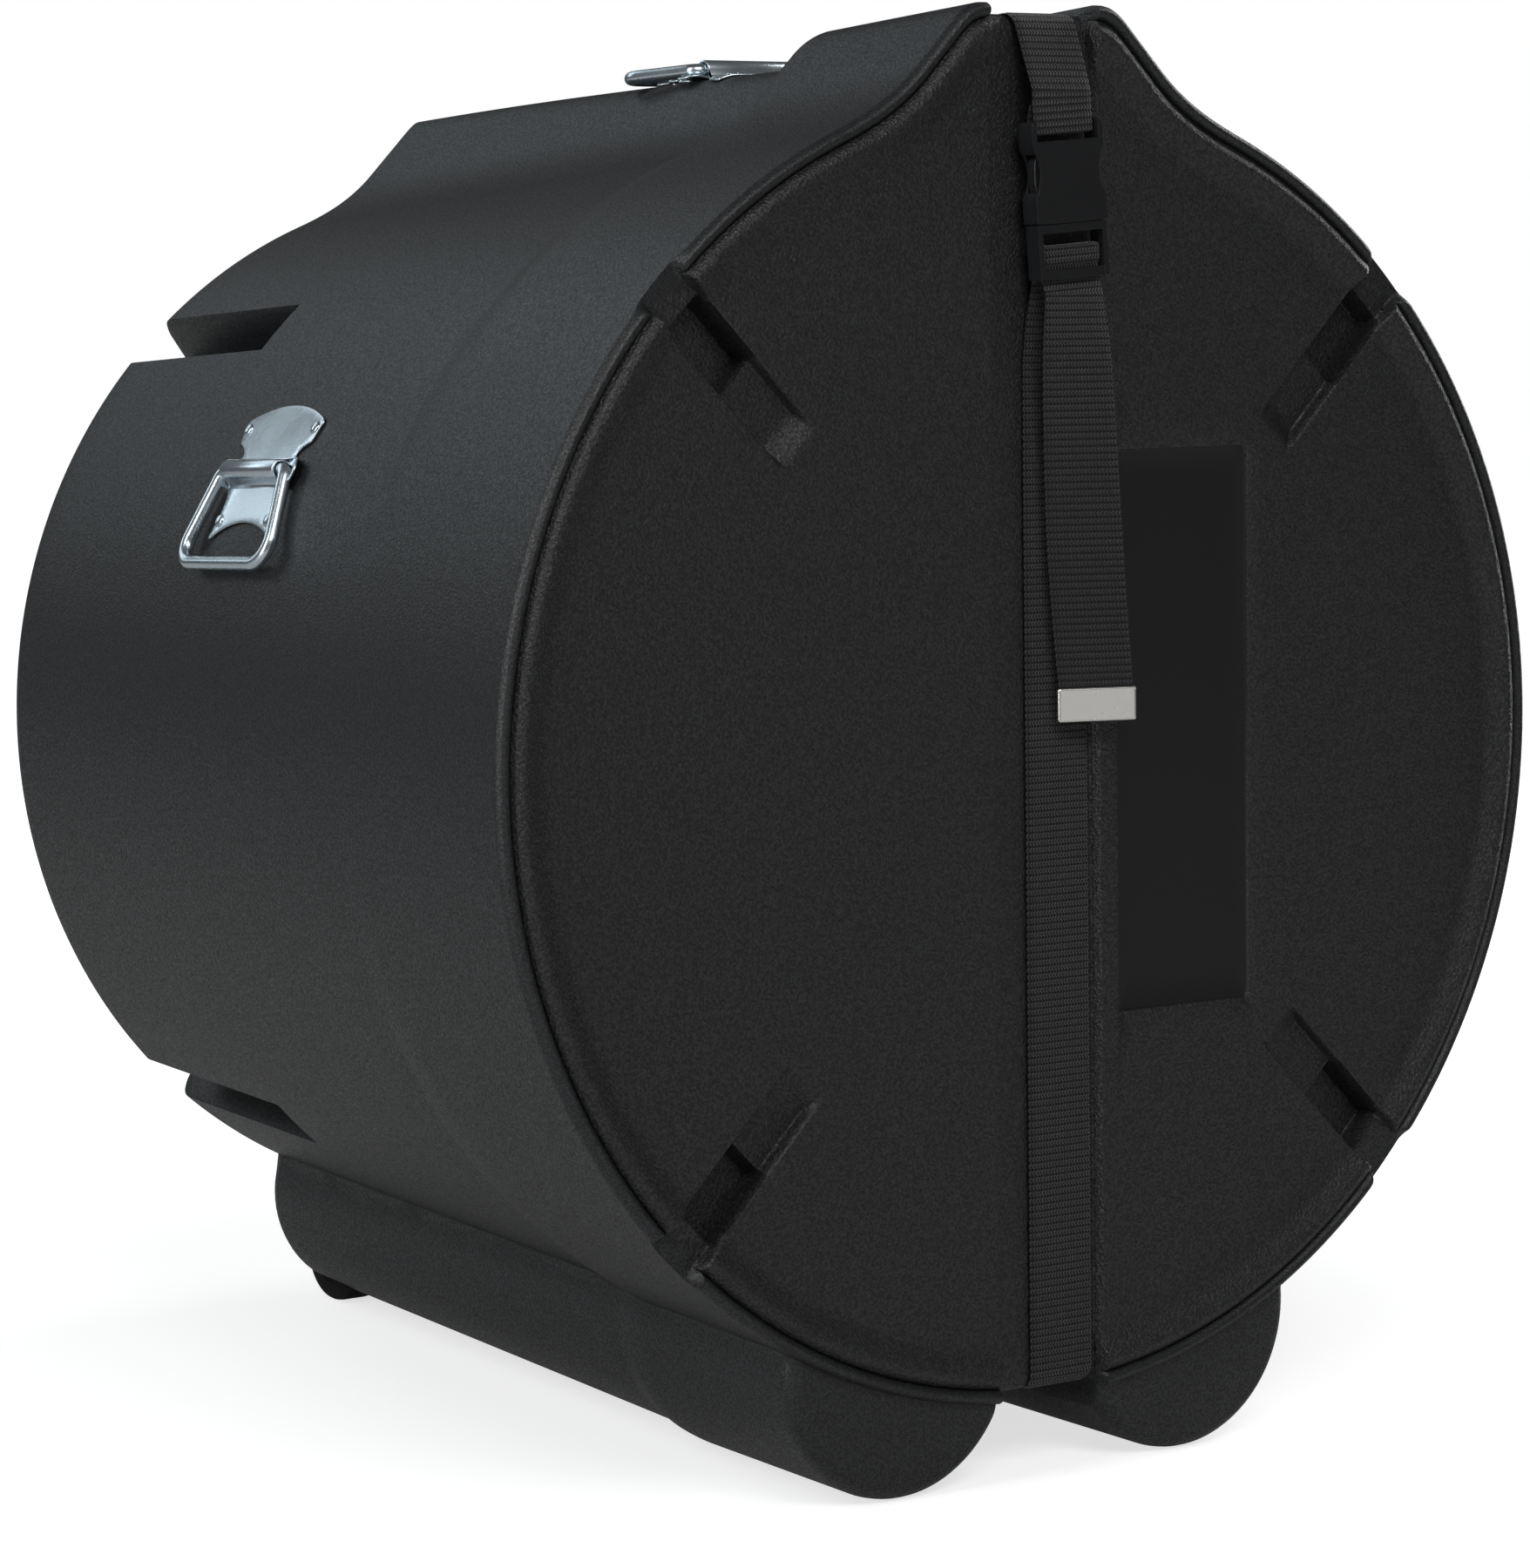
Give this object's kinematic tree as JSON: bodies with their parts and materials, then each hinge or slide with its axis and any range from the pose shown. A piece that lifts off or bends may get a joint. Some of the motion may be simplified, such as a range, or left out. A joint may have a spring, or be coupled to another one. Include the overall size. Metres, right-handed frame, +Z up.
{
  "type": "bass drum case",
  "caption": "Moulded plastic bass drum case with a full lid, a webbing strap with a side-release buckle, hinged loop handles, and wheels at its rear edge.",
  "frame": {"origin": "centre of the bounding box on the floor that the case stands on", "axes": "+Z up, +Y from the lid's face to the rear, +X to the right of someone who faces the lid"},
  "size_m": [0.6888, 0.5974, 0.7683],
  "materials": {
    "shell": "black moulded, fine grain",
    "face": "black moulded, coarse pebble",
    "zinc": "bright zinc plate",
    "steel": "bright",
    "nickel": "satin nickel plate",
    "web": "woven, ribbed",
    "buckle": "smooth, half gloss",
    "rubber": "matte",
    "hub": "matte",
    "foam": "soft"
  },
  "bodies": {
    "base": {"base_shell": "shell", "side_lining_left": "foam", "side_lining_right": "foam", "rear_pad": "foam", "handle_plate_left": "zinc", "handle_plate_right": "zinc", "handle_plate_top": "zinc", "handle_rivet_left_1": "zinc", "handle_rivet_left_2": "zinc", "handle_rivet_left_3": "zinc", "handle_rivet_left_4": "zinc", "handle_rivet_right_1": "zinc", "handle_rivet_right_2": "zinc", "handle_rivet_right_3": "zinc", "handle_rivet_right_4": "zinc", "handle_rivet_top_1": "zinc", "handle_rivet_top_2": "zinc", "handle_rivet_top_3": "zinc", "handle_rivet_top_4": "zinc", "wheel_bracket_left": "zinc", "wheel_bracket_right": "zinc", "bracket_rivet_left_a": "zinc", "bracket_rivet_left_b": "zinc", "bracket_rivet_right_a": "zinc", "bracket_rivet_right_b": "zinc", "axle_left": "steel", "axle_right": "steel", "strap_over_base": "web", "strap_top_bridge": "web", "strap_bottom_bridge": "web"},
    "lid": {"lid_shell": "face", "lid_pad": "foam", "strap_upper": "web", "buckle_female": "buckle"},
    "strap_front": {"buckle_male": "buckle", "strap_lower": "web", "strap_tip": "nickel"},
    "prong_left": {"buckle_prong_left": "buckle"},
    "prong_right": {"buckle_prong_right": "buckle"},
    "loop_left": {"handle_loop_left": "zinc"},
    "loop_right": {"handle_loop_right": "zinc"},
    "loop_top": {"handle_loop_top": "zinc"},
    "wheel_left": {"tyre_left": "rubber", "hub_left": "hub"},
    "wheel_right": {"tyre_right": "rubber", "hub_right": "hub"}
  },
  "joints": [
    {"name": "lid_slide", "type": "slide", "parent": "base", "child": "lid", "axis": [0, -0.9988, 0.0495], "range_m": [0, 0.1], "deforming": ["strap_top_bridge", "strap_bottom_bridge"]},
    {"name": "buckle_slide", "type": "slide", "parent": "lid", "child": "strap_front", "axis": [0.0698, -0.0494, -0.9963], "range_m": [0, 0.038], "deforming": ["strap_bottom_bridge"]},
    {"name": "prong_left_press", "type": "hinge", "parent": "strap_front", "child": "prong_left", "pos_m": [-0.00791, -0.27007, 0.6619], "axis": [0, 0.9988, -0.0495], "range_deg": [0, 6], "stiffness_Nm_per_rad": 0.6},
    {"name": "prong_right_press", "type": "hinge", "parent": "strap_front", "child": "prong_right", "pos_m": [0.027, -0.26995, 0.66434], "axis": [0, -0.9988, 0.0495], "range_deg": [0, 6], "stiffness_Nm_per_rad": 0.6},
    {"name": "handle_left_swing", "type": "hinge", "parent": "base", "child": "loop_left", "pos_m": [-0.29385, 0.03182, 0.51747], "axis": [0.0615, 0.9949, -0.0801], "range_deg": [0, 150]},
    {"name": "handle_right_swing", "type": "hinge", "parent": "base", "child": "loop_right", "pos_m": [0.29385, 0.03182, 0.51747], "axis": [0.0615, -0.9949, 0.0801], "range_deg": [0, 150]},
    {"name": "handle_top_swing", "type": "hinge", "parent": "base", "child": "loop_top", "pos_m": [0, -0.00483, 0.73212], "axis": [1, 0, 0], "range_deg": [0, 160]},
    {"name": "wheel_left_spin", "type": "hinge", "parent": "base", "child": "wheel_left", "pos_m": [-0.097, 0.24844, 0.028], "axis": [1, 0, 0], "continuous": true},
    {"name": "wheel_right_spin", "type": "hinge", "parent": "base", "child": "wheel_right", "pos_m": [0.097, 0.24844, 0.028], "axis": [1, 0, 0], "continuous": true}
  ]
}
